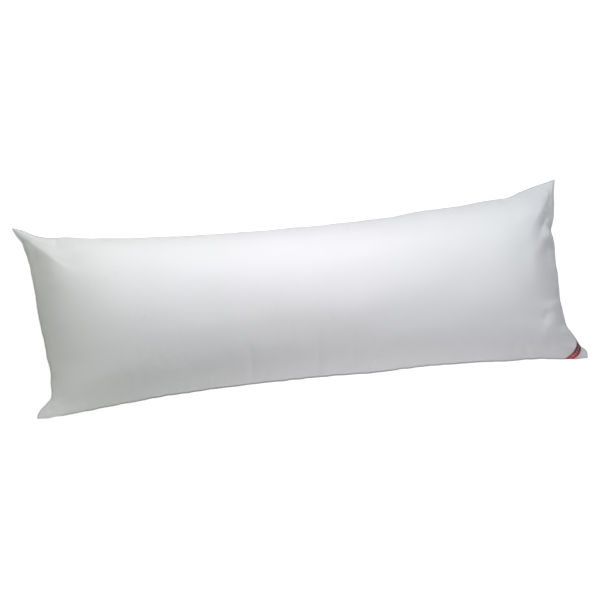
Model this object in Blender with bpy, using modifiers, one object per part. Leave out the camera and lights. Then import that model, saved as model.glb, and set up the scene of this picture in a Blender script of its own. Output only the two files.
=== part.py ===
"""Body pillow: a stuffed cotton case sewn shut all round, with a woven ribbon over one ear.

X runs along the pillow, Y across it, and it lies on its back on Z = 0. The upper and the
lower panel share one outline, the seam. Each panel swells away from the seam, and the lower
one is flat where the surface carries it. Lengths are in metres.
"""

from collections import namedtuple

import bmesh
import bpy
import numpy as np

# ---------------------------------------------------------------- driving sizes
SETTLE = 0.006           # height over which the lower panel rounds into its flat patch
TOUCHING = 0.0006        # the patch reaches out to where the panel is this far off the surface
LIP_WIDTH = 0.0035       # sewn lip outside the panels
LIP_THICKNESS = 0.0024
MESH_LONG = 76           # cells along the pillow
MESH_WIDE = 30           # cells across it
EDGE_CROWDING = 0.55     # 0 is even cells, 1 crowds them most towards the seam
FOLD_FADE = 0.03         # share of the half width or length over which a fold runs out at the seam
NORMAL_STEP = 0.004      # share of the half width or length between the points a normal is read from

RIBBON_THICKNESS = 0.0012
RIBBON_CLEARANCE = 0.0008

WHITE_COTTON = (0.86, 0.86, 0.87, 1.0)
DARK_RED = (0.33, 0.03, 0.05, 1.0)

# ---------------------------------------------------------------- ear tips and seam
# A tip's place. The ear is flattened to 'fullness' of the crown's own swell as far as 'flat'
# from the tip, and has all of it again 'reach' away.
Ear = namedtuple("Ear", "x y z fullness flat reach")
FAR_LEFT = Ear(-0.6693, 0.2355, 0.118, 1.00, 0.000, 0.050)
FAR_RIGHT = Ear(0.6690, 0.2285, 0.108, 0.60, 0.020, 0.120)
NEAR_RIGHT = Ear(0.6690, -0.2300, 0.070, 0.10, 0.017, 0.037)
NEAR_LEFT = Ear(-0.6600, -0.2355, 0.080, 0.35, 0.020, 0.110)

# Along each side, as a fraction of it: how far the seam is drawn in from the straight line
# between the two tips, and how far it sags below that line.
Station = namedtuple("Station", "along drawn_in sag")
FAR_SIDE = (   # from the left tip
    Station(0.00, 0.000, 0.000),
    Station(0.03, 0.012, 0.004),
    Station(0.08, 0.029, 0.012),
    Station(0.15, 0.036, 0.022),
    Station(0.30, 0.042, 0.038),
    Station(0.50, 0.046, 0.046),
    Station(0.70, 0.041, 0.040),
    Station(0.85, 0.034, 0.024),
    Station(0.905, 0.032, 0.014),
    Station(0.96, 0.010, 0.005),
    Station(1.00, 0.000, 0.000),
)
NEAR_SIDE = (  # from the left tip
    Station(0.00, 0.000, 0.000),
    Station(0.04, 0.001, 0.002),
    Station(0.11, 0.009, 0.006),
    Station(0.22, 0.024, 0.012),
    Station(0.33, 0.031, 0.016),
    Station(0.48, 0.032, 0.018),
    Station(0.62, 0.030, 0.016),
    Station(0.84, 0.018, 0.008),
    Station(0.93, 0.007, 0.003),
    Station(1.00, 0.000, 0.000),
)
LEFT_SIDE = (  # from the far tip
    Station(0.00, 0.000, 0.000),
    Station(0.07, 0.020, 0.008),
    Station(0.15, 0.028, 0.014),
    Station(0.24, 0.033, 0.018),
    Station(0.37, 0.038, 0.022),
    Station(0.53, 0.039, 0.024),
    Station(0.66, 0.041, 0.023),
    Station(0.75, 0.043, 0.020),
    Station(0.87, 0.038, 0.010),
    Station(0.91, 0.030, 0.006),
    Station(0.95, 0.012, 0.003),
    Station(1.00, 0.000, 0.000),
)
RIGHT_SIDE = (  # from the far tip
    Station(0.00, 0.000, 0.000),
    Station(0.10, 0.007, 0.004),
    Station(0.20, 0.014, 0.008),
    Station(0.27, 0.031, 0.010),
    Station(0.34, 0.029, 0.013),
    Station(0.52, 0.033, 0.018),
    Station(0.66, 0.034, 0.018),
    Station(0.79, 0.034, 0.014),
    Station(0.86, 0.026, 0.009),
    Station(0.905, 0.019, 0.005),
    Station(0.930, 0.013, 0.003),
    Station(0.955, 0.002, 0.001),
    Station(1.00, 0.000, 0.000),
)

# Along the pillow, as a fraction of it: how far the upper panel rises above the seam, and how
# far the lower one would fall below it if the surface didn't stop it.
Section = namedtuple("Section", "along crown belly")
SECTIONS = (   # from the left end
    Section(0.00, 0.120, 0.074),
    Section(0.22, 0.123, 0.076),
    Section(0.38, 0.131, 0.076),
    Section(0.52, 0.135, 0.076),
    Section(0.70, 0.127, 0.076),
    Section(0.86, 0.121, 0.076),
    Section(1.00, 0.120, 0.074),
)

# How a panel swells away from a seam: a higher 'power' keeps the middle flat for longer, and
# a lower 'fullness' makes it leave the seam more steeply.
Swell = namedtuple("Swell", "power fullness")
ACROSS = Swell(2.2, 0.62)
LEFT_END = Swell(4.2, 0.66)
RIGHT_END = Swell(6.0, 0.60)

# ---------------------------------------------------------------- folds of the upper panel
# A soft ridge (rise above 0) or trough (below 0), full where it starts and gone where it ends,
# and twice as wide there as its half-width at the start.
Fold = namedtuple("Fold", "name x1 y1 x2 y2 width rise")
FOLDS = (
    Fold("far left ridge", -0.666, 0.233, -0.498, 0.044, 0.010, 0.008),
    Fold("far left valley, near side", -0.644, 0.179, -0.558, 0.044, 0.016, -0.008),
    Fold("far left valley, far side", -0.626, 0.216, -0.518, 0.154, 0.012, -0.004),
    Fold("far right edge ridge", 0.658, 0.210, 0.612, 0.124, 0.011, 0.005),
    Fold("far right valley", 0.642, 0.127, 0.562, 0.060, 0.008, -0.007),
    Fold("far right fold", 0.640, 0.108, 0.568, 0.025, 0.008, 0.007),
    Fold("far right lower valley", 0.642, 0.089, 0.592, 0.014, 0.008, -0.005),
    Fold("far side notch", 0.522, 0.193, 0.554, 0.124, 0.009, -0.005),
    Fold("right end crease", 0.642, -0.105, 0.542, -0.185, 0.010, 0.006),
    Fold("right end valley", 0.640, -0.134, 0.552, -0.181, 0.009, -0.007),
    Fold("near left hollow", -0.626, -0.185, -0.568, -0.207, 0.010, -0.006),
    Fold("near left ridge", -0.648, -0.222, -0.538, -0.211, 0.010, 0.005),
    Fold("near side pucker 1", -0.148, -0.199, -0.146, -0.131, 0.009, -0.004),
    Fold("near side pucker 2", -0.072, -0.202, -0.066, -0.145, 0.008, -0.003),
    Fold("near side pucker 3", 0.013, -0.202, 0.018, -0.136, 0.009, -0.004),
    Fold("near side pucker 4", 0.110, -0.204, 0.116, -0.145, 0.008, -0.004),
    Fold("near side pucker 5", 0.167, -0.205, 0.162, -0.155, 0.008, -0.003),
)

# ---------------------------------------------------------------- ribbon
# Its two edges in plan, each from the end seam over the ear to the near side's seam.
Edge = namedtuple("Edge", "start middle finish")
RIBBON_INNER = Edge((0.6450, -0.1855), (0.6380, -0.2135), (0.6210, -0.2285))
RIBBON_OUTER = Edge((0.6570, -0.1990), (0.6520, -0.2195), (0.6390, -0.2305))
RIBBON_DROP_HEIGHT = 0.25   # the strip starts flat above the pillow and is laid straight down
RIBBON_CELLS_LONG = 24
RIBBON_CELLS_WIDE = 5


def through(stations, column, at):
    """One column of a side's table at the fractions 'at', on a smooth curve through its rows."""
    along = np.array([row.along for row in stations])
    value = np.array([getattr(row, column) for row in stations])
    slope = np.gradient(value, along)
    piece = np.clip(np.searchsorted(along, at, side="right") - 1, 0, len(along) - 2)
    span = along[piece + 1] - along[piece]
    t = (at - along[piece]) / span
    start = (1 + 2 * t) * (1 - t) ** 2 * value[piece] + t * (1 - t) ** 2 * span * slope[piece]
    end = t * t * (3 - 2 * t) * value[piece + 1] - t * t * (1 - t) * span * slope[piece + 1]
    return start + end


def ease(t):
    """0 below 0, 1 above 1, and smooth between."""
    t = np.clip(t, 0.0, 1.0)
    return t * t * (3 - 2 * t)


def mix(a, b, t):
    """The value a fraction t of the way from a to b."""
    return a + (b - a) * t


def seam_surface(s, q):
    """Points of the sheet that the seam spans: s from the left end to the right, q from far to near."""
    far_x, near_x = mix(FAR_LEFT.x, FAR_RIGHT.x, s), mix(NEAR_LEFT.x, NEAR_RIGHT.x, s)
    left_in = through(LEFT_SIDE, "drawn_in", q)
    right_in = through(RIGHT_SIDE, "drawn_in", q)
    x = mix(far_x, near_x, q) + mix(left_in, -right_in, s)

    far_y = mix(FAR_LEFT.y, FAR_RIGHT.y, s) - through(FAR_SIDE, "drawn_in", s)
    near_y = mix(NEAR_LEFT.y, NEAR_RIGHT.y, s) + through(NEAR_SIDE, "drawn_in", s)
    y = mix(far_y, near_y, q)

    tips_z = mix(mix(FAR_LEFT.z, FAR_RIGHT.z, s), mix(NEAR_LEFT.z, NEAR_RIGHT.z, s), q)
    sides_sag = mix(through(FAR_SIDE, "sag", s), through(NEAR_SIDE, "sag", s), q)
    ends_sag = mix(through(LEFT_SIDE, "sag", q), through(RIGHT_SIDE, "sag", q), s)
    return x, y, tips_z - sides_sag - ends_sag


def swelling(u, v, x, y):
    """Share of the full crown or belly at panel coordinates u and v, each -1 to 1."""
    def rise(position, kind):
        return np.maximum(1.0 - np.abs(position) ** kind.power, 0.0) ** kind.fullness

    share = np.where(u < 0, rise(u, LEFT_END), rise(u, RIGHT_END)) * rise(v, ACROSS)
    for ear in (FAR_LEFT, FAR_RIGHT, NEAR_RIGHT, NEAR_LEFT):
        away = np.hypot(x - ear.x, y - ear.y)
        share = share * mix(ear.fullness, 1.0, ease((away - ear.flat) / (ear.reach - ear.flat)))
    return share


def panel_points(u, v, upper):
    """Upper or lower panel, inside the sewn lip."""
    s = (1 + u) / 2
    x, y, z = seam_surface(s, (1 - v) / 2)
    share = swelling(u, v, x, y)
    if upper:
        return np.stack([x, y, z + LIP_THICKNESS / 2 + through(SECTIONS, "crown", s) * share], axis=1)
    z = z - LIP_THICKNESS / 2 - through(SECTIONS, "belly", s) * share
    rounded = (z + SETTLE) ** 2 / (4 * SETTLE)
    z = np.where(z > SETTLE, z, np.where(z < -SETTLE, 0.0, rounded))
    return np.stack([x, y, np.where(z < TOUCHING, 0.0, z)], axis=1)


def panel_normals(u, v, upper):
    """Outward unit normals of a panel, from points a little either side."""
    def between(low_u, high_u, low_v, high_v):
        return panel_points(high_u, high_v, upper) - panel_points(low_u, low_v, upper)

    along = between(np.maximum(u - NORMAL_STEP, -1), np.minimum(u + NORMAL_STEP, 1), v, v)
    across = between(u, u, np.maximum(v - NORMAL_STEP, -1), np.minimum(v + NORMAL_STEP, 1))
    normal = np.cross(along, across)
    return normal / np.linalg.norm(normal, axis=1)[:, None] * (1 if upper else -1)


def folded(u, v, points):
    """The upper panel's points with its ridges and troughs."""
    lift = np.zeros(len(points))
    for fold in FOLDS:
        start, end = np.array([fold.x1, fold.y1]), np.array([fold.x2, fold.y2])
        run = end - start
        t = np.clip((points[:, :2] - start) @ run / (run @ run), 0.0, 1.0)
        away = np.linalg.norm(points[:, :2] - start - t[:, None] * run, axis=1)
        lift += fold.rise * np.exp(-((away / (fold.width * (1 + t))) ** 2)) * (1 - t)
    from_seam = np.minimum(1 - np.abs(u), 1 - np.abs(v))
    return points + (lift * ease(from_seam / FOLD_FADE))[:, None] * panel_normals(u, v, True)


def grid_to_panel(position, cells):
    """A grid coordinate as a panel coordinate, and its step outwards onto the sewn lip."""
    seam = (cells - 2) / cells
    even = np.clip(position / seam, -1.0, 1.0)
    crowded = np.sin(even * np.pi / 2)
    outermost = np.abs(position) > (1 + seam) / 2
    return mix(even, crowded, EDGE_CROWDING), np.sign(position) * outermost


def add_panel(mesh, upper):
    """One panel with its half of the lip, as a grid that is moved into shape."""
    made = bmesh.ops.create_grid(mesh, x_segments=MESH_LONG, y_segments=MESH_WIDE, size=1.0)
    corners = made["verts"]
    flat = np.array([corner.co[:2] for corner in corners])
    u, lip_x = grid_to_panel(flat[:, 0], MESH_LONG)
    v, lip_y = grid_to_panel(flat[:, 1], MESH_WIDE)
    points = panel_points(u, v, upper)
    if upper:
        points = folded(u, v, points)
    points[:, 0] += lip_x * LIP_WIDTH
    points[:, 1] += lip_y * LIP_WIDTH
    for corner, point in zip(corners, points):
        corner.co = point
    return list({face for corner in corners for face in corner.link_faces})


def material(name, colour, roughness):
    """A plain cloth finish."""
    made = bpy.data.materials.new(name)
    made.use_nodes = True
    shader = made.node_tree.nodes["Principled BSDF"]
    shader.inputs["Base Color"].default_value = colour
    shader.inputs["Roughness"].default_value = roughness
    shader.inputs["Metallic"].default_value = 0.0
    return made


def make_pillow(collection):
    """The stuffed case: two panels joined round the outer edge of the lip."""
    mesh = bmesh.new()
    add_panel(mesh, True)
    lower = add_panel(mesh, False)
    bmesh.ops.reverse_faces(mesh, faces=lower)
    rim = [edge for edge in mesh.edges if edge.is_boundary]
    bmesh.ops.bridge_loops(mesh, edges=rim)
    bmesh.ops.recalc_face_normals(mesh, faces=mesh.faces)
    data = bpy.data.meshes.new("pillow")
    mesh.to_mesh(data)
    mesh.free()
    data.shade_smooth()
    data.materials.append(material("white_cotton", WHITE_COTTON, 0.8))
    pillow = bpy.data.objects.new("pillow", data)
    collection.objects.link(pillow)
    return pillow


def bend(edge, t):
    """Point at fraction t of the parabola through a ribbon edge's three points."""
    start, middle, finish = (np.array(point) for point in edge)
    return start * (1 - t) * (1 - 2 * t) + middle * 4 * t * (1 - t) + finish * t * (2 * t - 1)


def make_ribbon(collection, pillow):
    """The ribbon: a thin strip laid over the ear, with its ends at the seams."""
    mesh = bmesh.new()
    made = bmesh.ops.create_grid(
        mesh, x_segments=RIBBON_CELLS_LONG, y_segments=RIBBON_CELLS_WIDE, size=0.5
    )
    for corner in made["verts"]:
        along, across = corner.co.x + 0.5, corner.co.y + 0.5
        place = mix(bend(RIBBON_INNER, along), bend(RIBBON_OUTER, along), across)
        corner.co = (place[0], place[1], RIBBON_DROP_HEIGHT)
    bmesh.ops.recalc_face_normals(mesh, faces=mesh.faces)
    data = bpy.data.meshes.new("ribbon")
    mesh.to_mesh(data)
    mesh.free()
    data.shade_smooth()
    data.materials.append(material("woven_ribbon", DARK_RED, 0.55))
    ribbon = bpy.data.objects.new("ribbon", data)
    collection.objects.link(ribbon)

    drop = ribbon.modifiers.new("lay on the ear", "SHRINKWRAP")
    drop.target = pillow
    drop.wrap_method = "PROJECT"
    drop.use_project_z = True
    drop.use_negative_direction = True
    drop.use_positive_direction = False
    lift = ribbon.modifiers.new("clear the cotton", "DISPLACE")
    lift.strength = RIBBON_CLEARANCE
    lift.mid_level = 0.0
    thick = ribbon.modifiers.new("thickness", "SOLIDIFY")
    thick.thickness = RIBBON_THICKNESS
    thick.offset = 1.0
    return ribbon


def main():
    for item in list(bpy.data.objects):
        bpy.data.objects.remove(item)
    collection = bpy.data.collections.new("body_pillow")
    bpy.context.scene.collection.children.link(collection)
    pillow = make_pillow(collection)
    make_ribbon(collection, pillow)


main()
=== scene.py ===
"""Looks of the body pillow: a white cotton case, its sewn edge and the woven ribbon over one ear.

X runs along the pillow, Y across it and Z up, in metres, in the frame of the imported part.
"""
import math
from collections import namedtuple

import bpy
import numpy as np
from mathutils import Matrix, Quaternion, Vector
from mathutils.bvhtree import BVHTree


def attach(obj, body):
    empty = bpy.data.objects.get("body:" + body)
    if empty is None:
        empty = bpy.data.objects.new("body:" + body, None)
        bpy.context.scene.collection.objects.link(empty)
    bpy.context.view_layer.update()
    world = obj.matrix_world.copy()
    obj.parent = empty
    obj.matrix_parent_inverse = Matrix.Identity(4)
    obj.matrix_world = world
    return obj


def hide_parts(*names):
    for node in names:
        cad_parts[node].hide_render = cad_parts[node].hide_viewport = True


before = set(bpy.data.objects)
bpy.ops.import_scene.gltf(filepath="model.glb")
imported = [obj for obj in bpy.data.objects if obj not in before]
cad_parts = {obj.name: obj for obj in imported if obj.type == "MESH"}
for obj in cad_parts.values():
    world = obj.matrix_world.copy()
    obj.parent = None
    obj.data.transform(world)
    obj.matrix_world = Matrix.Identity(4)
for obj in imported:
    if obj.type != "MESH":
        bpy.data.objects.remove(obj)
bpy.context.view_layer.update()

# ---------------------------------------------------------------- driving sizes of the case
SETTLE = 0.006           # height over which the lower panel rounds into its flat patch
SEAM_HALF = 0.0012       # half of the cloth's thickness at the seam
HALF_LENGTH = 0.64       # of a panel, from its middle to the seam
HALF_WIDTH = 0.20
CELLS_LONG = 380         # cells of a panel along the pillow, an even number
CELLS_WIDE = 96          # and across it
CROWDING_LONG = 0.35     # 0 is even cells, 1 crowds them most towards the seam
CROWDING_WIDE = 0.60
NORMAL_STEP = 0.003      # step in panel coordinates between the points a normal is read from
FOLD_FADE = 0.007        # distance from the seam over which wrinkles reach their height

# The sewn lip in section, from the upper panel to its edge: distance out from the panel, and
# height as a share of the seam's half thickness. The lower half mirrors it.
Step = namedtuple("Step", "out height")
LIP_SECTION = (
    Step(0.0004, 0.42),
    Step(0.0010, 0.62),
    Step(0.0018, 0.84),
    Step(0.0026, 0.74),
    Step(0.0033, 0.40),
    Step(0.0035, 0.00),
)
TIP_REACH = 0.030        # from an ear's tip, over which the lip narrows
TIP_LIP = 0.55           # its width there, as a share of the rest

# ---------------------------------------------------------------- ear tips and seam
# A tip's place. The ear is flattened to 'fullness' of the crown's own swell as far as 'flat'
# from the tip, and has all of it again 'reach' away.
Ear = namedtuple("Ear", "x y z fullness flat reach")
FAR_LEFT = Ear(-0.6705, 0.2365, 0.118, 1.00, 0.000, 0.050)
FAR_RIGHT = Ear(0.6702, 0.2300, 0.108, 0.60, 0.020, 0.120)
NEAR_RIGHT = Ear(0.6700, -0.2318, 0.070, 0.10, 0.017, 0.037)
NEAR_LEFT = Ear(-0.6612, -0.2380, 0.080, 0.35, 0.020, 0.110)

# Along each side, as a fraction of it: how far the seam is drawn in from the straight line
# between the two tips, and how far it sags below that line.
Station = namedtuple("Station", "along drawn_in sag")
FAR_SIDE = (   # from the left tip
    Station(0.00, 0.000, 0.000),
    Station(0.015, 0.0075, 0.002),
    Station(0.035, 0.0210, 0.005),
    Station(0.070, 0.0320, 0.011),
    Station(0.095, 0.0315, 0.014),
    Station(0.145, 0.0390, 0.021),
    Station(0.190, 0.0410, 0.027),
    Station(0.300, 0.0455, 0.038),
    Station(0.500, 0.0480, 0.046),
    Station(0.620, 0.0475, 0.043),
    Station(0.700, 0.0437, 0.040),
    Station(0.750, 0.0377, 0.036),
    Station(0.800, 0.0378, 0.031),
    Station(0.850, 0.0348, 0.024),
    Station(0.880, 0.0330, 0.019),
    Station(0.912, 0.0325, 0.013),
    Station(0.935, 0.0222, 0.009),
    Station(0.960, 0.0134, 0.005),
    Station(0.980, 0.0080, 0.002),
    Station(1.00, 0.000, 0.000),
)
NEAR_SIDE = (  # from the left tip
    Station(0.00, 0.000, 0.000),
    Station(0.040, 0.0040, 0.002),
    Station(0.110, 0.0132, 0.006),
    Station(0.220, 0.0275, 0.012),
    Station(0.330, 0.0345, 0.016),
    Station(0.460, 0.0363, 0.018),
    Station(0.530, 0.0354, 0.018),
    Station(0.605, 0.0309, 0.016),
    Station(0.700, 0.0321, 0.014),
    Station(0.840, 0.0218, 0.008),
    Station(0.930, 0.0122, 0.003),
    Station(1.00, 0.000, 0.000),
)
LEFT_SIDE = (  # from the far tip
    Station(0.00, 0.000, 0.000),
    Station(0.030, 0.0080, 0.004),
    Station(0.070, 0.0204, 0.008),
    Station(0.110, 0.0259, 0.011),
    Station(0.185, 0.0336, 0.016),
    Station(0.240, 0.0348, 0.018),
    Station(0.300, 0.0367, 0.020),
    Station(0.400, 0.0379, 0.023),
    Station(0.500, 0.0396, 0.024),
    Station(0.600, 0.0440, 0.024),
    Station(0.680, 0.0454, 0.022),
    Station(0.750, 0.0480, 0.020),
    Station(0.810, 0.0455, 0.016),
    Station(0.880, 0.0429, 0.009),
    Station(0.900, 0.0401, 0.007),
    Station(0.930, 0.0265, 0.005),
    Station(0.960, 0.0108, 0.002),
    Station(0.982, 0.0032, 0.001),
    Station(1.00, 0.000, 0.000),
)
RIGHT_SIDE = (  # from the far tip
    Station(0.00, 0.000, 0.000),
    Station(0.050, 0.0075, 0.002),
    Station(0.100, 0.0113, 0.004),
    Station(0.150, 0.0159, 0.006),
    Station(0.190, 0.0190, 0.008),
    Station(0.230, 0.0257, 0.009),
    Station(0.265, 0.0316, 0.010),
    Station(0.310, 0.0303, 0.012),
    Station(0.350, 0.0292, 0.013),
    Station(0.410, 0.0328, 0.0155),
    Station(0.500, 0.0335, 0.018),
    Station(0.600, 0.0370, 0.0185),
    Station(0.740, 0.0382, 0.016),
    Station(0.810, 0.0350, 0.013),
    Station(0.835, 0.0297, 0.011),
    Station(0.875, 0.0218, 0.008),
    Station(0.910, 0.0170, 0.005),
    Station(0.935, 0.0130, 0.003),
    Station(0.955, 0.0036, 0.001),
    Station(1.00, 0.000, 0.000),
)

# Along the pillow, as a fraction of it: how far the upper panel rises above the seam, and how
# far the lower one would fall below it if the surface didn't stop it.
Section = namedtuple("Section", "along crown belly")
SECTIONS = (   # from the left end
    Section(0.00, 0.120, 0.074),
    Section(0.22, 0.123, 0.076),
    Section(0.38, 0.131, 0.076),
    Section(0.52, 0.135, 0.076),
    Section(0.70, 0.127, 0.076),
    Section(0.86, 0.121, 0.076),
    Section(1.00, 0.120, 0.074),
)

# How a panel swells away from a seam: a higher 'power' keeps the middle flat for longer, and
# a lower 'fullness' makes it leave the seam more steeply.
Swell = namedtuple("Swell", "power fullness")
ACROSS = Swell(2.2, 0.62)
LEFT_END = Swell(4.2, 0.66)
RIGHT_END = Swell(6.0, 0.60)

# ---------------------------------------------------------------- folds of the upper panel
# A ridge (rise above 0) or trough (below 0), full where it starts and gone where it ends, and
# twice as wide there as its half-width at the start. A 'sharp' of 2 is soft, 1 a crisp line.
Fold = namedtuple("Fold", "name x1 y1 x2 y2 width rise sharp")
FOLDS = (
    Fold("far left ridge", -0.666, 0.233, -0.520, 0.070, 0.009, 0.010, 1.2),
    Fold("far left facet", -0.630, 0.150, -0.598, -0.020, 0.020, -0.010, 2.0),
    Fold("far left valley, far side", -0.626, 0.216, -0.518, 0.154, 0.012, -0.004, 2.0),
    Fold("far left end crease", -0.622, 0.120, -0.575, 0.092, 0.007, -0.002, 1.6),
    Fold("far side pucker 1", -0.572, 0.203, -0.562, 0.160, 0.007, -0.003, 2.0),
    Fold("far side pucker 2", -0.520, 0.199, -0.512, 0.150, 0.007, -0.003, 2.0),
    Fold("far side pucker 3", -0.402, 0.192, -0.396, 0.140, 0.008, -0.002, 2.0),
    Fold("far side notch", 0.524, 0.188, 0.537, 0.158, 0.006, -0.007, 1.6),
    Fold("far side notch ridge", 0.552, 0.188, 0.570, 0.138, 0.008, 0.004, 1.6),
    Fold("far right upper crest", 0.640, 0.190, 0.548, 0.098, 0.016, 0.007, 1.5),
    Fold("far right edge", 0.658, 0.203, 0.560, 0.062, 0.009, 0.012, 1.3),
    Fold("far right facet", 0.644, 0.134, 0.654, 0.190, 0.013, -0.020, 2.0),
    Fold("far right valley", 0.626, 0.126, 0.576, 0.040, 0.006, -0.009, 1.6),
    Fold("far right fold", 0.634, 0.088, 0.570, 0.012, 0.008, 0.009, 1.3),
    Fold("far right lower crease", 0.624, 0.056, 0.576, 0.006, 0.008, -0.002, 1.8),
    Fold("right end facet", 0.618, 0.050, 0.610, -0.130, 0.020, -0.015, 2.0),
    Fold("right end crest", 0.570, 0.020, 0.560, -0.080, 0.014, 0.003, 1.6),
    Fold("right end upper crease", 0.624, -0.072, 0.570, -0.106, 0.007, -0.003, 1.6),
    Fold("right end upper fold", 0.620, -0.094, 0.552, -0.130, 0.009, 0.008, 1.5),
    Fold("right end middle crease", 0.580, -0.124, 0.550, -0.178, 0.006, -0.003, 1.6),
    Fold("right end fold", 0.604, -0.132, 0.538, -0.210, 0.013, 0.006, 1.8),
    Fold("right end valley", 0.632, -0.142, 0.600, -0.166, 0.007, -0.010, 1.6),
    Fold("near left crumple", -0.6230, -0.2175, -0.6011, -0.2235, 0.007, 0.026, 1.2),
    Fold("near left tip crumple", -0.6450, -0.2300, -0.6330, -0.2190, 0.006, 0.040, 1.2),
    Fold("near left crease", -0.640, -0.196, -0.590, -0.203, 0.006, -0.003, 2.0),
    Fold("near left flange", -0.622, -0.215, -0.360, -0.190, 0.016, -0.030, 2.0),
    Fold("near side pucker 1", -0.148, -0.205, -0.146, -0.131, 0.006, -0.008, 1.5),
    Fold("near side pucker 2", -0.072, -0.205, -0.066, -0.135, 0.007, -0.006, 1.5),
    Fold("near side pucker 3", 0.013, -0.205, 0.018, -0.120, 0.006, -0.010, 1.5),
    Fold("near side pucker 4", 0.095, -0.205, 0.102, -0.120, 0.006, -0.011, 1.5),
    Fold("near side pucker 5", 0.150, -0.206, 0.146, -0.140, 0.005, -0.008, 1.5),
)

FOLD_HEIGHT = 0.030      # above the seam, from where on a fold has its full rise

# Small gathers where the sewing draws the cloth in, each a fine trough in from the seam. Their
# places and sizes are drawn from these ranges, from a fixed start.
GATHER_SEED = 11
GATHER_SPACING = 0.021
GATHER_HALF_WIDTH = (0.0040, 0.0075)
GATHER_LENGTH = (0.014, 0.052)
GATHER_DEPTH = (0.0003, 0.0013)
GATHER_LEAN = 0.35       # most sideways run for each unit of length
GATHER_BEHIND = 0.004    # how far a gather reaches back over the seam
GATHER_UNEVEN = (0.5, 1.5)   # least and most of the spacing between two of them

# The seam wanders a little: waves of these lengths, and how far all of them move it together.
SEAM_SEED = 3
SEAM_WAVES = 10
SEAM_LENGTH = (0.025, 0.160)
SEAM_WANDER = 0.0007
SEAM_REACH = 0.020       # distance from the seam over which the wandering dies away

# The filling is a little uneven: waves of these lengths, and how high all of them rise together.
LUMP_SEED = 5
LUMP_WAVES = 14
LUMP_LENGTH = (0.10, 0.26)
LUMP_RISE = 0.0011

# ---------------------------------------------------------------- settling the cloth
# Blown up on the pinned seam, cloth that is slightly too large wrinkles. Only these wrinkles
# are kept, on a grid half as fine as the panel's.
SETTLE_FRAMES = 20
SETTLE_PRESSURE = 4.0
SETTLE_EXCESS = 0.012
SETTLE_STIFFNESS = 15    # against stretching and pressing together
SETTLE_DAMPING = 10
SETTLE_AIR_DAMPING = 2
SETTLE_BENDING = 0.05
WRINKLE_GAIN = 0.55
WRINKLE_CAP = 0.0018     # furthest that a wrinkle moves a point
WRINKLE_REACH = 0.085    # distance from the seam over which they die away
WRINKLE_SMOOTHING = 12

# ---------------------------------------------------------------- ribbon
# Its two edges in plan, each from the end seam over the ear to the near side's seam.
Edge = namedtuple("Edge", "start middle finish")
RIBBON_INNER = Edge((0.6492, -0.1880), (0.6380, -0.2130), (0.6165, -0.2262))
RIBBON_OUTER = Edge((0.6590, -0.1995), (0.6525, -0.2195), (0.6375, -0.2300))
RIBBON_THICKNESS = 0.0007
RIBBON_CLEARANCE = 0.0004
RIBBON_CELLS_LONG = 110
RIBBON_CELLS_WIDE = 30
RIBBON_DROP_HEIGHT = 0.25
RIBBON_OVER = 0.10       # furthest that it runs on past its two end points, as a share of its length
RIBBON_MIDDLE = (0.3, 0.7)   # where the searches for its two ends set out
RIBBON_SEARCH = 400      # places tried in each
RIBBON_BRIDGE = 4        # cells that the ribbon spans without dipping between them
RIBBON_LENGTH = 0.0665

# ---------------------------------------------------------------- stitches
STITCH_PITCH = 0.0030
STITCH_LENGTH = 0.0023
STITCH_RADIUS = 0.00022
STITCH_OUT = 0.0020      # from the panel to the row of stitches
STITCH_RISE = 0.00085    # of the row above the middle of the lip
STITCH_SIDES = 5
Bulge = namedtuple("Bulge", "along radius sink")
STITCH_BULGES = (        # along a stitch: the share of its radius, and how many radii it dips
    Bulge(0.0, 0.35, 0.6),
    Bulge(0.2, 1.00, 0.0),
    Bulge(0.8, 1.00, 0.0),
    Bulge(1.0, 0.35, 0.6),
)

# ---------------------------------------------------------------- finishes
Finish = namedtuple("Finish", "roughness sheen sheen_roughness specular")
COTTON = Finish(0.78, 0.12, 0.4, 0.25)
THREAD = Finish(0.6, 0.0, 0.5, 0.5)
RIBBON = Finish(0.45, 0.3, 0.3, 0.5)
MATT = Finish(0.9, 0.0, 0.5, 0.5)

Relief = namedtuple("Relief", "distance strength")
CRUMPLES = Relief(0.0015, 0.35)
SLUBS = Relief(0.0003, 0.25)
WEAVE = Relief(0.00008, 0.5)
TWIST = Relief(0.0001, 0.5)
RIBS = Relief(0.00015, 0.6)
WEAVE_PITCH = 0.0005     # of the cotton's threads
RIB_PITCH = 0.0006       # of the ribbon's ribs

# How many times a metre each noise varies.
CRUMPLE_SCALE = 55
SLUB_SCALE = 30
SLUB_STRETCH = 40        # times as often across a thread as along it
MOTTLE_SCALE = 5
TWIST_SCALE = 4000
TWIST_STRETCH = 0.4      # times as often up and down as along
WORN_SCALE = 300
SLUB_MOTTLE = 0.35       # how much the slubs show in the mix of the cotton's two colours

# ---------------------------------------------------------------- view
AIM = Vector((-0.005, -0.012, 0.09))
CAMERA_DISTANCE = 6.013
CAMERA_AZIMUTH = -21.17   # degrees, 0 looks along +Y
CAMERA_ELEVATION = 66.32
CAMERA_ROLL = 13.62
LENS = 150.0

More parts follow.
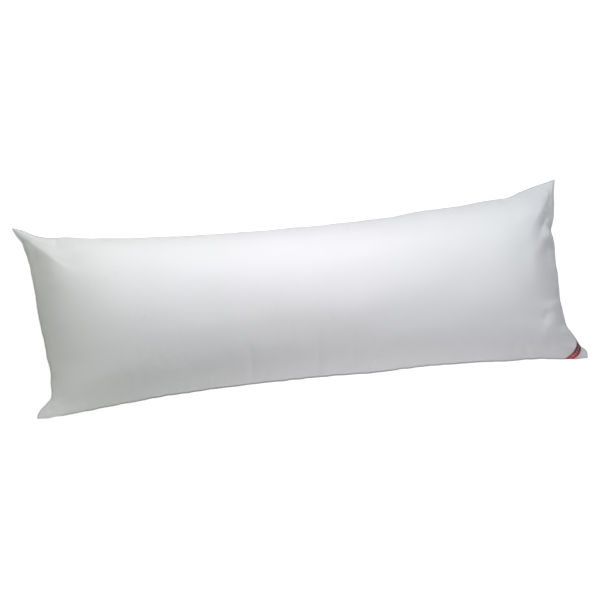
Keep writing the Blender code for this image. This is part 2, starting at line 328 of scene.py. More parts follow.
# ---------------------------------------------------------------- colours
PANEL_COLOUR = ((0.85, 0.85, 0.86), (0.82, 0.825, 0.825))
# The lip's colours are darker than the panels': painted shade along the sewn edge, lighter within reach of
# the ears' tips.
EDGE_PAINTED_SHADE = ((0.75, 0.755, 0.74), (0.64, 0.645, 0.63))
EAR_EDGE_LIGHTER_PAINTED_SHADE = ((0.83, 0.83, 0.83), (0.77, 0.775, 0.77))
EAR_LIGHTER_SHADE_REACH = 0.055   # from an ear's tip, within which the lip's painted shade is lighter
THREAD_COLOUR = (0.80, 0.80, 0.80)
THREAD_SHADE = (0.68, 0.68, 0.67)
RIBBON_RED = (0.56, 0.070, 0.086)
# Painted shade: the ribbon's dark red where it runs up the end seam, turning into its red further along.
RIBBON_PAINTED_SHADE_RED = (0.115, 0.026, 0.037)
RIBBON_PALE = (0.84, 0.66, 0.66)
RED_START = 0.25           # share of its length from where the painted shade's dark red turns into the red
RED_RATE = 2.2             # and how fast, 1 taking the ribbon's whole length
MOTIF_PITCH = 0.0100       # of the row of diamonds
MOTIF_HALF_LENGTH = 0.34   # of a diamond, as a share of the pitch
MOTIF_HALF_WIDTH = 0.24    # and as a share of the ribbon's width
MOTIF_PALENESS = 0.55      # share of the pale colour in a diamond
SELVEDGE_SHARE = 0.06      # of the ribbon's width, at each edge
SELVEDGE_PALENESS = 0.8    # and in a selvedge

# ---------------------------------------------------------------- studio
FLOOR_REACH = 6.0
FLOOR_WHITE = (0.90, 0.90, 0.90)
FLOOR_GLOW = 0.70        # near the pillow, where the soft boxes light the floor as well
FLOOR_FAR_GLOW = 1.0
GLOW_RISE = (0.6, 1.5)   # distances from the middle between which it rises from one to the other
SoftBox = namedtuple("SoftBox", "name place aim size energy colour")
SOFT_BOXES = (
    SoftBox("overhead_left", (-0.45, 0.20, 0.50), (-0.45, 0.20, 0.0), (0.5, 0.5), 0.70, (0.96, 0.96, 1.08)),
    SoftBox("overhead_far", (-0.45, 0.42, 0.54), (-0.45, 0.42, 0.0), (0.5, 0.5), 1.03, (1.01, 1.08, 0.91)),
    SoftBox("overhead_middle", (0.05, 0.20, 0.50), (0.05, 0.20, 0.0), (0.5, 0.5), 1.30, (1.00, 0.97, 1.03)),
    SoftBox("overhead_right", (0.55, 0.20, 0.50), (0.55, 0.20, 0.0), (0.5, 0.5), 0.90, (0.96, 1.02, 1.02)),
    SoftBox("front_right", (0.50, -0.75, 0.60), (0, 0, 0.1), (0.5, 0.5), 1.95, (0.96, 1.00, 1.04)),
    SoftBox("front_far_right", (1.00, -0.83, 0.66), (0, 0, 0.1), (0.5, 0.5), 1.28, (1.06, 0.94, 1.00)),
    SoftBox("front_left", (-0.90, -0.75, 0.60), (0, 0, 0.1), (0.5, 0.5), 2.28, (0.99, 1.06, 0.95)),
    SoftBox("near_left_ear", (-0.70, -0.34, 0.23), (-0.64, -0.23, 0.08), (0.15, 0.15), 0.055, (1, 1, 1)),
    SoftBox("front_low", (0.0, -0.70, 0.15), (0, 0, 0.1), (0.6, 0.2), 0.57, (1.03, 0.95, 1.02)),
    SoftBox("left_low", (-1.40, 0.0, 0.25), (-0.55, 0, 0.1), (0.6, 0.3), 0.45, (1.02, 1.08, 0.90)),
    SoftBox("back_right", (1.40, 1.50, 1.00), (0, 0, 0.1), (1.0, 1.0), 13.1, (0.97, 0.98, 1.05)),
    SoftBox("back_left", (-1.40, 1.50, 1.00), (0, 0, 0.1), (1.0, 1.0), 3.7, (1.10, 0.97, 0.93)),
)


def through(stations, column, at):
    """One column of a side's table at the fractions 'at', on a smooth curve through its rows."""
    along = np.array([row.along for row in stations])
    value = np.array([getattr(row, column) for row in stations])
    slope = np.gradient(value, along)
    piece = np.clip(np.searchsorted(along, at, side="right") - 1, 0, len(along) - 2)
    span = along[piece + 1] - along[piece]
    t = (at - along[piece]) / span
    start = (1 + 2 * t) * (1 - t) ** 2 * value[piece] + t * (1 - t) ** 2 * span * slope[piece]
    end = t * t * (3 - 2 * t) * value[piece + 1] - t * t * (1 - t) * span * slope[piece + 1]
    return start + end


def ease(t):
    """0 below 0, 1 above 1, and smooth between."""
    t = np.clip(t, 0.0, 1.0)
    return t * t * (3 - 2 * t)


def mix(a, b, t):
    """The value a fraction t of the way from a to b."""
    return a + (b - a) * t


def seam_surface(s, q):
    """Points of the sheet that the seam spans: s from the left end to the right, q from far to near."""
    far_x, near_x = mix(FAR_LEFT.x, FAR_RIGHT.x, s), mix(NEAR_LEFT.x, NEAR_RIGHT.x, s)
    left_in = through(LEFT_SIDE, "drawn_in", q)
    right_in = through(RIGHT_SIDE, "drawn_in", q)
    x = mix(far_x, near_x, q) + mix(left_in, -right_in, s)

    far_y = mix(FAR_LEFT.y, FAR_RIGHT.y, s) - through(FAR_SIDE, "drawn_in", s)
    near_y = mix(NEAR_LEFT.y, NEAR_RIGHT.y, s) + through(NEAR_SIDE, "drawn_in", s)
    y = mix(far_y, near_y, q)

    tips_z = mix(mix(FAR_LEFT.z, FAR_RIGHT.z, s), mix(NEAR_LEFT.z, NEAR_RIGHT.z, s), q)
    sides_sag = mix(through(FAR_SIDE, "sag", s), through(NEAR_SIDE, "sag", s), q)
    ends_sag = mix(through(LEFT_SIDE, "sag", q), through(RIGHT_SIDE, "sag", q), s)
    return x, y, tips_z - sides_sag - ends_sag


def swelling(u, v, x, y):
    """Share of the full crown or belly at panel coordinates u and v, each -1 to 1."""
    def rise(position, kind):
        return np.maximum(1.0 - np.abs(position) ** kind.power, 0.0) ** kind.fullness

    share = np.where(u < 0, rise(u, LEFT_END), rise(u, RIGHT_END)) * rise(v, ACROSS)
    for ear in (FAR_LEFT, FAR_RIGHT, NEAR_RIGHT, NEAR_LEFT):
        away = np.hypot(x - ear.x, y - ear.y)
        share = share * mix(ear.fullness, 1.0, ease((away - ear.flat) / (ear.reach - ear.flat)))
    return share


def panel_points(u, v, upper):
    """Upper or lower panel, inside the sewn lip."""
    s = (1 + u) / 2
    x, y, z = seam_surface(s, (1 - v) / 2)
    share = swelling(u, v, x, y)
    if upper:
        return np.stack([x, y, z + SEAM_HALF + through(SECTIONS, "crown", s) * share], axis=1)
    z = z - SEAM_HALF - through(SECTIONS, "belly", s) * share
    rounded = (z + SETTLE) ** 2 / (4 * SETTLE)
    z = np.where(z > SETTLE, z, np.where(z < -SETTLE, 0.0, rounded))
    return np.stack([x, y, z], axis=1)


def panel_normals(u, v, upper):
    """Outward unit normals of a panel, from points a little either side."""
    def between(low_u, high_u, low_v, high_v):
        return panel_points(high_u, high_v, upper) - panel_points(low_u, low_v, upper)

    along = between(np.maximum(u - NORMAL_STEP, -1), np.minimum(u + NORMAL_STEP, 1), v, v)
    across = between(u, u, np.maximum(v - NORMAL_STEP, -1), np.minimum(v + NORMAL_STEP, 1))
    normal = np.cross(along, across)
    return normal / np.linalg.norm(normal, axis=1)[:, None] * (1 if upper else -1)


def grid_lines(cells, crowding):
    """Panel coordinates of a grid's lines, from -1 to 1, closer together towards the seam."""
    even = np.linspace(-1.0, 1.0, cells + 1)
    return mix(even, np.sin(even * np.pi / 2), crowding)


def panel_grid(cells_long, cells_wide):
    """Panel coordinates u and v of every corner of a panel's grid."""
    lines_long, lines_wide = grid_lines(cells_long, CROWDING_LONG), grid_lines(cells_wide, CROWDING_WIDE)
    u, v = np.meshgrid(lines_long, lines_wide, indexing="ij")
    return u.ravel(), v.ravel()


def seam_distance(u, v):
    """About how far a point of a panel is from the seam."""
    return np.minimum((1 - np.abs(u)) * HALF_LENGTH, (1 - np.abs(v)) * HALF_WIDTH)


def seam_loop(cells_long, cells_wide):
    """Indices of the corners of a panel's grid along its rim, round the pillow once."""
    index = np.arange((cells_long + 1) * (cells_wide + 1)).reshape(cells_long + 1, cells_wide + 1)
    return np.concatenate([index[:-1, 0], index[-1, :-1], index[:0:-1, -1], index[0, :0:-1]])


def loop_outward(plan):
    """Unit normals in plan, outwards from a loop of points that runs anticlockwise."""
    tangent = np.roll(plan, -1, axis=0) - np.roll(plan, 1, axis=0)
    out = np.stack([tangent[:, 1], -tangent[:, 0]], axis=1)
    return out / np.linalg.norm(out, axis=1)[:, None]


def tip_distance(plan):
    """Distance in plan from the nearest ear's tip."""
    tips = np.array([(ear.x, ear.y) for ear in (FAR_LEFT, FAR_RIGHT, NEAR_RIGHT, NEAR_LEFT)])
    return np.linalg.norm(plan[:, None] - tips, axis=2).min(axis=1)


def lip_share(plan):
    """Share of the lip's full width at each point of a rim."""
    return mix(TIP_LIP, 1.0, ease(tip_distance(plan) / TIP_REACH))


def fold_lift(points, height):
    """How far the ridges and troughs raise each point, less where it is low above the seam."""
    lift = np.zeros(len(points))
    for fold in FOLDS:
        start, end = np.array([fold.x1, fold.y1]), np.array([fold.x2, fold.y2])
        run = end - start
        t = np.clip((points[:, :2] - start) @ run / (run @ run), 0.0, 1.0)
        away = np.linalg.norm(points[:, :2] - start - t[:, None] * run, axis=1)
        shape = np.exp(-((away / (fold.width * (1 + t))) ** fold.sharp)) * (1 - t)
        lift += fold.rise * shape
    return lift * np.tanh(height / FOLD_HEIGHT)


def gather_lift(points, loop, draw):
    """How far the small gathers along the seam lift each point along its normal."""
    plan = points[loop, :2]
    out = loop_outward(plan)
    along = np.concatenate([[0.0], np.cumsum(np.linalg.norm(np.diff(plan, axis=0), axis=1))])
    lift = np.zeros(len(points))
    place = 0.0
    while place < along[-1]:
        at = np.searchsorted(along, place)
        inward = -out[at] + draw.uniform(-GATHER_LEAN, GATHER_LEAN) * np.array([-out[at][1], out[at][0]])
        inward /= np.linalg.norm(inward)
        length = draw.uniform(*GATHER_LENGTH)
        width = draw.uniform(*GATHER_HALF_WIDTH)
        away = points[:, :2] - plan[at]
        t = np.clip(away @ inward / length, 0.0, 1.0)
        side = np.abs(away @ np.array([-inward[1], inward[0]]))
        near = np.exp(-((side / (width * (1 + t))) ** 2)) * (1 - t) ** 2
        lift -= draw.uniform(*GATHER_DEPTH) * near * (away @ inward > -GATHER_BEHIND)
        place += GATHER_SPACING * draw.uniform(*GATHER_UNEVEN)
    return lift


def lump_lift(points):
    """How far the uneven filling lifts each point."""
    draw = np.random.default_rng(LUMP_SEED)
    lift = np.zeros(len(points))
    for _ in range(LUMP_WAVES):
        turn, shift = draw.uniform(0, 2 * np.pi, 2)
        wave = 2 * np.pi / draw.uniform(*LUMP_LENGTH)
        lift += np.sin(wave * (points[:, 0] * np.cos(turn) + points[:, 1] * np.sin(turn)) + shift)
    return LUMP_RISE * lift / math.sqrt(LUMP_WAVES)


def seam_wander(u, v):
    """How far the uneven sewing moves each point of a panel in plan."""
    draw = np.random.default_rng(SEAM_SEED)
    moved = np.zeros((len(u), 3))
    x, y = u * HALF_LENGTH, v * HALF_WIDTH
    for axis, half, towards, along in ((0, HALF_LENGTH, x, y), (1, HALF_WIDTH, y, x)):
        for side in (1, -1):
            near = np.exp(-(half - side * towards) / SEAM_REACH)
            for _ in range(SEAM_WAVES):
                wave = np.sin(2 * np.pi * along / draw.uniform(*SEAM_LENGTH) + draw.uniform(0, 2 * np.pi))
                moved[:, axis] += side * near * wave
    return SEAM_WANDER * moved / math.sqrt(SEAM_WAVES)


def add_mesh(name, points, faces):
    """A smooth mesh object in the scene."""
    mesh = bpy.data.meshes.new(name)
    mesh.from_pydata(points.tolist(), [], faces)
    mesh.shade_smooth()
    made = bpy.data.objects.new(name, mesh)
    bpy.context.scene.collection.objects.link(made)
    return made


def panel_faces(cells_long, cells_wide, first, upper):
    """Four-sided faces of a panel's grid whose corners start at index first."""
    index = np.arange((cells_long + 1) * (cells_wide + 1)).reshape(cells_long + 1, cells_wide + 1) + first
    quads = np.stack([index[:-1, :-1], index[1:, :-1], index[1:, 1:], index[:-1, 1:]], axis=-1)
    return (quads if upper else quads[:, :, ::-1]).reshape(-1, 4).tolist()


def case_mesh(name, panels, cells_long, cells_wide, section):
    """The closed case, and how many of its faces are the panels'. Rings make the lip between them."""
    loop = seam_loop(cells_long, cells_wide)
    top, bottom = panels[0][loop], panels[1][loop]
    out = loop_outward(top[:, :2]) * lip_share(top[:, :2])[:, None]
    count = len(panels[0])
    parts = list(panels)
    rings, first = [loop], 2 * count
    for step in section + tuple(step._replace(height=-step.height) for step in section[-2::-1]):
        ring = (top + bottom) / 2
        ring[:, :2] += out * step.out
        ring[:, 2] += step.height * SEAM_HALF
        parts.append(ring)
        rings.append(np.arange(len(loop)) + first)
        first += len(loop)
    rings.append(loop + count)
    faces = panel_faces(cells_long, cells_wide, 0, True) + panel_faces(cells_long, cells_wide, count, False)
    panel_face_count = len(faces)
    for inner, outer in zip(rings, rings[1:]):
        faces += np.stack([inner, outer, np.roll(outer, -1), np.roll(inner, -1)], axis=1).tolist()
    return add_mesh(name, np.concatenate(parts), faces), panel_face_count


def smoothed(values, rounds):
    """Values on a grid, averaged with their neighbours a number of times."""
    for _ in range(rounds):
        padded = np.pad(values, ((1, 1), (0, 0), (0, 0)), mode="edge")
        values = (padded[:-2] + 2 * padded[1:-1] + padded[2:]) / 4
        padded = np.pad(values, ((0, 0), (1, 1), (0, 0)), mode="edge")
        values = (padded[:, :-2] + 2 * padded[:, 1:-1] + padded[:, 2:]) / 4
    return values


def doubled(values):
    """Values on a grid, on a grid twice as fine."""
    for axis in (0, 1):
        values = np.moveaxis(values, axis, 0)
        fine = np.empty((2 * len(values) - 1, *values.shape[1:]))
        fine[::2] = values
        fine[1::2] = (values[:-1] + values[1:]) / 2
        values = np.moveaxis(fine, 0, axis)
    return smoothed(values, 1)


def settle():
    """Blows the case up as cloth, and returns the wrinkles of its upper and lower panel."""
    cells_long, cells_wide = CELLS_LONG // 2, CELLS_WIDE // 2
    u, v = panel_grid(cells_long, cells_wide)
    panels = [panel_points(u, v, upper) for upper in (True, False)]
    case, _ = case_mesh("settling", panels, cells_long, cells_wide, LIP_SECTION[-1:])
    count = len(u)
    held = np.ones(len(case.data.vertices), bool)
    inside = seam_distance(u, v) > 0
    held[:count] = ~inside
    held[count:2 * count] = ~inside | (panels[1][:, 2] <= 0)
    case.vertex_groups.new(name="held").add(np.nonzero(held)[0].tolist(), 1.0, "REPLACE")

    cloth = case.modifiers.new("cloth", "CLOTH")
    cloth.settings.vertex_group_mass = "held"
    cloth.settings.use_pressure = True
    cloth.settings.uniform_pressure_force = SETTLE_PRESSURE
    cloth.settings.shrink_min = -SETTLE_EXCESS
    cloth.settings.effector_weights.gravity = 0
    cloth.settings.air_damping = SETTLE_AIR_DAMPING
    for strain in ("tension", "compression"):
        setattr(cloth.settings, strain + "_stiffness", SETTLE_STIFFNESS)
        setattr(cloth.settings, strain + "_damping", SETTLE_DAMPING)
    cloth.settings.bending_stiffness = SETTLE_BENDING
    cloth.point_cache.frame_end = SETTLE_FRAMES
    for number in range(1, SETTLE_FRAMES + 1):
        bpy.context.scene.frame_set(number)
    blown = case.evaluated_get(bpy.context.evaluated_depsgraph_get()).to_mesh()
    points = np.empty(len(blown.vertices) * 3)
    blown.vertices.foreach_get("co", points)
    points = points.reshape(-1, 3)
    bpy.data.objects.remove(case)

    wrinkles = []
    for panel, first in zip(panels, (0, count)):
        moved = (points[first:first + count] - panel).reshape(cells_long + 1, cells_wide + 1, 3)
        wrinkles.append(doubled(moved - smoothed(moved, WRINKLE_SMOOTHING)).reshape(-1, 3))
    return wrinkles


def metres_on_cloth(points, cells_long, cells_wide):
    """Where each corner of a panel's grid is on its flat cloth, from the middle."""
    grid = points.reshape(cells_long + 1, cells_wide + 1, 3)
    places = []
    for axis in (0, 1):
        steps = np.linalg.norm(np.diff(grid, axis=axis), axis=2)
        run = np.cumsum(steps, axis=axis)
        run = np.concatenate([np.zeros_like(np.take(run, [0], axis=axis)), run], axis=axis)
        places.append(run - np.take(run, [run.shape[axis] // 2], axis=axis))
    return np.stack(places, axis=-1).reshape(-1, 2)


def make_pillow():
    """The stuffed case: two fine panels and the rolled lip round them."""
    u, v = panel_grid(CELLS_LONG, CELLS_WIDE)
    loop = seam_loop(CELLS_LONG, CELLS_WIDE)
    draw = np.random.default_rng(GATHER_SEED)
    wrinkles = settle()
    apart = seam_distance(u, v)
    panels = []
    for upper, wrinkle in zip((True, False), wrinkles):
        points = panel_points(u, v, upper)
        off_floor = np.ones(len(u)) if upper else ease(points[:, 2] / SETTLE)
        lift = gather_lift(points, loop, draw) * ease(apart / FOLD_FADE)
        lift += lump_lift(points) * ease(apart / LUMP_LENGTH[0])
        size = np.linalg.norm(wrinkle, axis=1) + 1e-9
        kept = WRINKLE_CAP * np.tanh(WRINKLE_GAIN * size / WRINKLE_CAP) / size
        kept *= np.exp(-((apart / WRINKLE_REACH) ** 2)) * ease(apart / FOLD_FADE)
        points = points + (lift * off_floor)[:, None] * panel_normals(u, v, upper)
        points += (kept * off_floor)[:, None] * wrinkle
        if upper:
            points[:, 2] += fold_lift(points, points[:, 2] - seam_surface((1 + u) / 2, (1 - v) / 2)[2])
        points += seam_wander(u, v) * off_floor[:, None]
        points[:, 2] = np.maximum(points[:, 2], 0.0)
        panels.append(points)
    pillow, panel_face_count = case_mesh("pillow_case", panels, CELLS_LONG, CELLS_WIDE, LIP_SECTION)

    places = [metres_on_cloth(panel, CELLS_LONG, CELLS_WIDE) for panel in panels]
    rim = panels[0][loop]
    along = np.concatenate([[0.0], np.cumsum(np.linalg.norm(np.diff(rim, axis=0), axis=1))])
    for ring in range(2 * len(LIP_SECTION) - 1):
        places.append(np.stack([along, np.full(len(along), ring * SEAM_HALF)], axis=1))
    places = np.concatenate(places)
    mesh = pillow.data
    corners = np.empty(len(mesh.loops), int)
    mesh.loops.foreach_get("vertex_index", corners)
    mesh.uv_layers.new(name="cloth").uv.foreach_set("vector", places[corners].ravel())
    mesh.materials.append(cotton("white_cotton", PANEL_COLOUR))
    # Painted shade: the lip's faces take darker copies of the cotton, with a lighter copy near the ears'
    # tips.
    mesh.materials.append(cotton("cotton_edge_painted_shade", EDGE_PAINTED_SHADE))
    mesh.materials.append(cotton("cotton_ear_edge_lighter_painted_shade", EAR_EDGE_LIGHTER_PAINTED_SHADE))
    middles = np.empty(3 * len(mesh.polygons))
    mesh.polygons.foreach_get("center", middles)
    # Lip faces near an ear's tip take the lighter painted shade.
    lighter_shade_at_ear = tip_distance(middles.reshape(-1, 3)[:, :2]) < EAR_LIGHTER_SHADE_REACH
    slots = np.where(lighter_shade_at_ear, 2, 1)
    slots[:panel_face_count] = 0
    mesh.polygons.foreach_set("material_index", slots)
    return pillow, panels


def make_stitching(panels):
    """The row of stitches along both faces of the lip."""
    loop = seam_loop(CELLS_LONG, CELLS_WIDE)
    rim = (panels[0][loop] + panels[1][loop]) / 2
    rim[:, :2] += loop_outward(rim[:, :2]) * (STITCH_OUT * lip_share(rim[:, :2]))[:, None]
    rim = np.concatenate([rim, rim[:1]])
    along = np.concatenate([[0.0], np.cumsum(np.linalg.norm(np.diff(rim, axis=0), axis=1))])
    count = int(along[-1] / STITCH_PITCH)

    def on_rim(distance):
        return np.stack([np.interp(distance, along, rim[:, axis]) for axis in range(3)], axis=1)

    starts = np.arange(count) * along[-1] / count
    first, last = on_rim(starts), on_rim(starts + STITCH_LENGTH)
    forward = last - first
    forward /= np.linalg.norm(forward, axis=1)[:, None]
    sideways = np.stack([forward[:, 1], -forward[:, 0], np.zeros(count)], axis=1)
    sideways /= np.linalg.norm(sideways, axis=1)[:, None]
    upward = np.cross(sideways, forward)
    turns = np.arange(STITCH_SIDES) * 2 * np.pi / STITCH_SIDES
    points, faces = [], []
    for face in (1, -1):
        rings = []
        for bulge in STITCH_BULGES:
            middle = mix(first, last, bulge.along)
            middle[:, 2] += face * (STITCH_RISE - bulge.sink * STITCH_RADIUS)
            ring = middle[:, None] + bulge.radius * STITCH_RADIUS * (
                np.cos(turns)[None, :, None] * sideways[:, None]
                + np.sin(turns)[None, :, None] * upward[:, None]
            )
            rings.append(ring)
        points.append(np.stack(rings, axis=1).reshape(-1, 3))
    spans = len(STITCH_BULGES) - 1
    per_stitch = len(STITCH_BULGES) * STITCH_SIDES
    for number in range(2 * count):
        base = number * per_stitch
        for ring in range(spans):
            for side in range(STITCH_SIDES):
                a = base + ring * STITCH_SIDES + side
                b = base + ring * STITCH_SIDES + (side + 1) % STITCH_SIDES
                faces.append((a, b, b + STITCH_SIDES, a + STITCH_SIDES))
        faces.append(tuple(base + side for side in reversed(range(STITCH_SIDES))))
        faces.append(tuple(base + spans * STITCH_SIDES + side for side in range(STITCH_SIDES)))
    stitching = add_mesh("edge_stitching", np.concatenate(points), faces)
    stitching.data.materials.append(thread())
    return stitching


def bend(edge, t):
    """Point at fraction t of the parabola through a ribbon edge's three points."""
    start, middle, finish = (np.array(point) for point in edge)
    return start * (1 - t) * (1 - 2 * t) + middle * 4 * t * (1 - t) + finish * t * (2 * t - 1)


def ribbon_reach(below, across, first, last):
    """Fraction along the ribbon, from 'first' towards 'last', up to which there is cloth under it."""
    reached = first
    for along in np.linspace(first, last, RIBBON_SEARCH):
        if below(along, across) is None:
            break
        reached = along
    return reached


def make_ribbon(pillow):
    """The ribbon, laid straight down on the ear, with its ends at the outer edge of the lip."""
    tree = BVHTree.FromObject(pillow, bpy.context.evaluated_depsgraph_get())

    def below(along, across):
        x, y = mix(bend(RIBBON_INNER, along), bend(RIBBON_OUTER, along), across)
        return tree.ray_cast(Vector((x, y, RIBBON_DROP_HEIGHT)), Vector((0, 0, -1)))[0]

    points, places = [], []
    for across in np.linspace(0.0, 1.0, RIBBON_CELLS_WIDE + 1):
        first = ribbon_reach(below, across, RIBBON_MIDDLE[0], -RIBBON_OVER)
        last = ribbon_reach(below, across, RIBBON_MIDDLE[1], 1 + RIBBON_OVER)
        for along in np.linspace(first, last, RIBBON_CELLS_LONG + 1):
            points.append(below(along, across))
            places.append((across, along))
    corners_in_rows = (RIBBON_CELLS_WIDE + 1, RIBBON_CELLS_LONG + 1, -1)
    points = np.array(points).reshape(corners_in_rows)
    height = points[..., 2].copy()
    for step in range(1, RIBBON_BRIDGE + 1):
        height[:, step:-step] = np.maximum(height[:, step:-step], points[:, :-2 * step, 2])
        height[:, step:-step] = np.maximum(height[:, step:-step], points[:, 2 * step:, 2])
    for _ in range(RIBBON_BRIDGE):
        height[:, 1:-1] = (height[:, :-2] + 2 * height[:, 1:-1] + height[:, 2:]) / 4
    points[..., 2] = height + RIBBON_CLEARANCE
    points = points.transpose(1, 0, 2).reshape(-1, 3)
    places = np.array(places).reshape(corners_in_rows).transpose(1, 0, 2).reshape(-1, 2)
    faces = panel_faces(RIBBON_CELLS_LONG, RIBBON_CELLS_WIDE, 0, False)
    ribbon = add_mesh("corner_ribbon", points, faces)
    corners = [corner.vertex_index for corner in ribbon.data.loops]
    ribbon.data.uv_layers.new(name="strip").uv.foreach_set("vector", places[corners].ravel())
    ribbon.data.materials.append(woven_ribbon())
    thick = ribbon.modifiers.new("thickness", "SOLIDIFY")
    thick.thickness = RIBBON_THICKNESS
    thick.offset = 1.0
    return ribbon


def new_material(name, colour, finish):
    """A material, its node tree and its Principled shader."""
    made = bpy.data.materials.new(name)
    made.use_nodes = True
    shader = made.node_tree.nodes["Principled BSDF"]
    shader.inputs["Base Color"].default_value = (*colour, 1.0)
    shader.inputs["Roughness"].default_value = finish.roughness
    shader.inputs["Sheen Weight"].default_value = finish.sheen
    shader.inputs["Sheen Roughness"].default_value = finish.sheen_roughness
    shader.inputs["Specular IOR Level"].default_value = finish.specular
    return made, made.node_tree, shader


def compute(tree, operation, *values):
    """The output of a Math node that is fed with numbers and other nodes' outputs."""
    node = tree.nodes.new("ShaderNodeMath")
    node.operation = operation
    for socket, value in zip(node.inputs, values):
        if isinstance(value, bpy.types.NodeSocket):
            tree.links.new(value, socket)
        else:
            socket.default_value = value
    return node.outputs[0]


def uv_axes(tree, name):
    """The two coordinates of a UV map."""
    uv = tree.nodes.new("ShaderNodeUVMap")
    uv.uv_map = name
    split = tree.nodes.new("ShaderNodeSeparateXYZ")
    tree.links.new(uv.outputs["UV"], split.inputs[0])
    return uv.outputs["UV"], split.outputs["X"], split.outputs["Y"]


def noise(tree, place, stretch, scale, detail=2.0):
    """Noise over a place that is first scaled by stretch."""
    mapping = tree.nodes.new("ShaderNodeMapping")
    mapping.inputs["Scale"].default_value = stretch
    tree.links.new(place, mapping.inputs["Vector"])
    node = tree.nodes.new("ShaderNodeTexNoise")
    node.inputs["Scale"].default_value = scale
    node.inputs["Detail"].default_value = detail
    tree.links.new(mapping.outputs[0], node.inputs["Vector"])
    return node.outputs["Fac"]


def blend_colours(tree, share, first, second):
    """A colour between two, where each is a colour or another node's output."""
    node = tree.nodes.new("ShaderNodeMix")
    node.data_type = "RGBA"
    tree.links.new(share, node.inputs["Factor"])
    for socket, value in ((node.inputs["A"], first), (node.inputs["B"], second)):
        if isinstance(value, bpy.types.NodeSocket):
            tree.links.new(value, socket)
        else:
            socket.default_value = (*value, 1.0)
    return node.outputs["Result"]


def bump(tree, height, relief, under=None):
    """A normal bumped by a height, on top of another bump if one is given."""
    node = tree.nodes.new("ShaderNodeBump")
    node.inputs["Distance"].default_value = relief.distance
    node.inputs["Strength"].default_value = relief.strength
    tree.links.new(height, node.inputs["Height"])
    if under is not None:
        tree.links.new(under, node.inputs["Normal"])
    return node.outputs["Normal"]


def cotton(name, colours):
    """Plain-woven cotton: threads over and under each other, a little uneven, with a soft bloom."""
    made, tree, shader = new_material(name, colours[0], COTTON)
    place, x, y = uv_axes(tree, "cloth")
    turn = 2 * math.pi / WEAVE_PITCH
    warp = compute(tree, "SINE", compute(tree, "MULTIPLY", x, turn))
    weft = compute(tree, "SINE", compute(tree, "MULTIPLY", y, turn))
    weave = compute(tree, "MULTIPLY", warp, weft)
    slubs = compute(
        tree, "ADD",
        noise(tree, place, (1, SLUB_STRETCH, 1), SLUB_SCALE),
        noise(tree, place, (SLUB_STRETCH, 1, 1), SLUB_SCALE),
    )
    crumple = noise(tree, place, (1, 1, 1), CRUMPLE_SCALE, 3.0)
    normal = bump(tree, slubs, SLUBS, bump(tree, crumple, CRUMPLES))
    tree.links.new(bump(tree, weave, WEAVE, normal), shader.inputs["Normal"])
    patches = noise(tree, place, (1, 1, 1), MOTTLE_SCALE)
    mottle = compute(tree, "ADD", compute(tree, "MULTIPLY", slubs, SLUB_MOTTLE), patches)
    # The two colours mix by a mottle; for the lip's materials they carry its painted shade.
    shade = blend_colours(tree, compute(tree, "SUBTRACT", mottle, SLUB_MOTTLE), *colours)
    tree.links.new(shade, shader.inputs["Base Color"])
    return made


def thread():
    """White sewing thread, its twist seen as fine slanting ridges."""
    made, tree, shader = new_material("white_thread", THREAD_COLOUR, THREAD)
    place = tree.nodes.new("ShaderNodeTexCoord").outputs["Object"]
    twist = noise(tree, place, (1, 1, TWIST_STRETCH), TWIST_SCALE)
    tree.links.new(bump(tree, twist, TWIST), shader.inputs["Normal"])
    worn = noise(tree, place, (1, 1, 1), WORN_SCALE)
    tree.links.new(blend_colours(tree, worn, THREAD_COLOUR, THREAD_SHADE), shader.inputs["Base Color"])
    return made


def woven_ribbon():
    """Ribbed red ribbon, painted a darker red for shade where it runs up the end seam, with pale selvedges
    and a row of small pale diamonds.
    """
    made, tree, shader = new_material("woven_ribbon", RIBBON_RED, RIBBON)
    _, across, along = uv_axes(tree, "strip")
    metres = compute(tree, "MULTIPLY", along, RIBBON_LENGTH)
    ribs = compute(tree, "SINE", compute(tree, "MULTIPLY", metres, 2 * math.pi / RIB_PITCH))
    tree.links.new(bump(tree, ribs, RIBS), shader.inputs["Normal"])
    # Painted shade: dark at the ribbon's start on the end seam, fading into the red.
    painted_shade_fading = compute(tree, "MULTIPLY", compute(tree, "SUBTRACT", along, RED_START), RED_RATE)
    red = blend_colours(tree, painted_shade_fading, RIBBON_PAINTED_SHADE_RED, RIBBON_RED)

    step = compute(tree, "FRACT", compute(tree, "DIVIDE", metres, MOTIF_PITCH))
    from_middle = compute(tree, "ABSOLUTE", compute(tree, "SUBTRACT", step, 0.5))
    from_centre = compute(tree, "ABSOLUTE", compute(tree, "SUBTRACT", across, 0.5))
    reach = compute(
        tree, "ADD",
        compute(tree, "DIVIDE", from_middle, MOTIF_HALF_LENGTH),
        compute(tree, "DIVIDE", from_centre, MOTIF_HALF_WIDTH),
    )
    diamond = compute(tree, "LESS_THAN", reach, 1.0)
    selvedge = compute(tree, "GREATER_THAN", from_centre, 0.5 - SELVEDGE_SHARE)
    pale = compute(
        tree, "MAXIMUM",
        compute(tree, "MULTIPLY", diamond, MOTIF_PALENESS),
        compute(tree, "MULTIPLY", selvedge, SELVEDGE_PALENESS),
    )
    tree.links.new(blend_colours(tree, pale, red, RIBBON_PALE), shader.inputs["Base Color"])
    return made


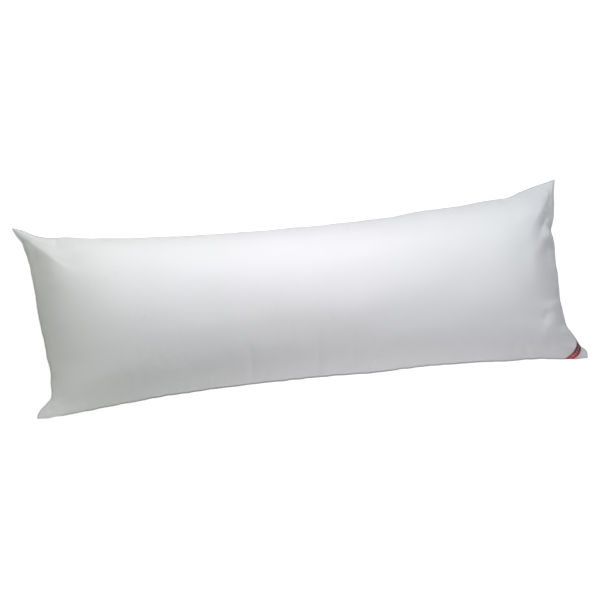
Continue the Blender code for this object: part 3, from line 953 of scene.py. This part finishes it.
def glowing_floor():
    """White floor with a glow of its own, stronger away from the pillow."""
    made, tree, shader = new_material("white_floor", FLOOR_WHITE, MATT)
    shader.inputs["Emission Color"].default_value = (1.0, 1.0, 1.0, 1.0)
    place = tree.nodes.new("ShaderNodeNewGeometry").outputs["Position"]
    away = tree.nodes.new("ShaderNodeVectorMath")
    away.operation = "LENGTH"
    tree.links.new(place, away.inputs[0])
    level = tree.nodes.new("ShaderNodeMapRange")
    level.interpolation_type = "SMOOTHSTEP"
    tree.links.new(away.outputs["Value"], level.inputs["Value"])
    level.inputs["From Min"].default_value, level.inputs["From Max"].default_value = GLOW_RISE
    level.inputs["To Min"].default_value = FLOOR_GLOW
    level.inputs["To Max"].default_value = FLOOR_FAR_GLOW
    tree.links.new(level.outputs["Result"], shader.inputs["Emission Strength"])
    return made


def place_camera():
    """The camera, at the angle from which the pillow is seen."""
    azimuth, elevation = math.radians(CAMERA_AZIMUTH), math.radians(CAMERA_ELEVATION)
    back = Vector((
        math.sin(azimuth) * math.cos(elevation),
        -math.cos(azimuth) * math.cos(elevation),
        math.sin(elevation),
    ))
    data = bpy.data.cameras.new("camera")
    data.lens = LENS
    data.clip_end = 50.0
    camera = bpy.data.objects.new("camera", data)
    camera.location = AIM + back * CAMERA_DISTANCE
    camera.rotation_mode = "QUATERNION"
    level = (-back).to_track_quat("-Z", "Y")
    camera.rotation_quaternion = level @ Quaternion((0, 0, 1), math.radians(CAMERA_ROLL))
    bpy.context.scene.collection.objects.link(camera)
    bpy.context.scene.camera = camera


def light_studio():
    """A white floor whose glow lights only itself, and soft boxes that the camera doesn't see."""
    corners = FLOOR_REACH * np.array([(-1, -1, 0), (1, -1, 0), (1, 1, 0), (-1, 1, 0)])
    floor = add_mesh("floor", corners, [(0, 1, 2, 3)])
    floor.data.materials.append(glowing_floor())
    itself = bpy.data.collections.new("floor_glow")
    itself.objects.link(floor)
    floor.light_linking.receiver_collection = itself
    for box in SOFT_BOXES:
        data = bpy.data.lights.new(box.name, "AREA")
        data.shape = "RECTANGLE"
        data.size, data.size_y = box.size
        data.energy, data.color = box.energy, box.colour
        light = bpy.data.objects.new(box.name, data)
        light.location = box.place
        light.rotation_euler = (Vector(box.aim) - Vector(box.place)).to_track_quat("-Z", "Y").to_euler()
        light.visible_camera = False
        bpy.context.scene.collection.objects.link(light)
    world = bpy.data.worlds.new("studio")
    world.use_nodes = True
    world.node_tree.nodes["Background"].inputs["Strength"].default_value = 0.0
    bpy.context.scene.world = world
    bpy.context.scene.view_settings.view_transform = "Standard"


pillow, panels = make_pillow()
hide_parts("pillow")
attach(pillow, "root")

stitching = make_stitching(panels)
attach(stitching, "root")

ribbon = make_ribbon(pillow)
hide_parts("ribbon")
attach(ribbon, "root")

place_camera()
light_studio()
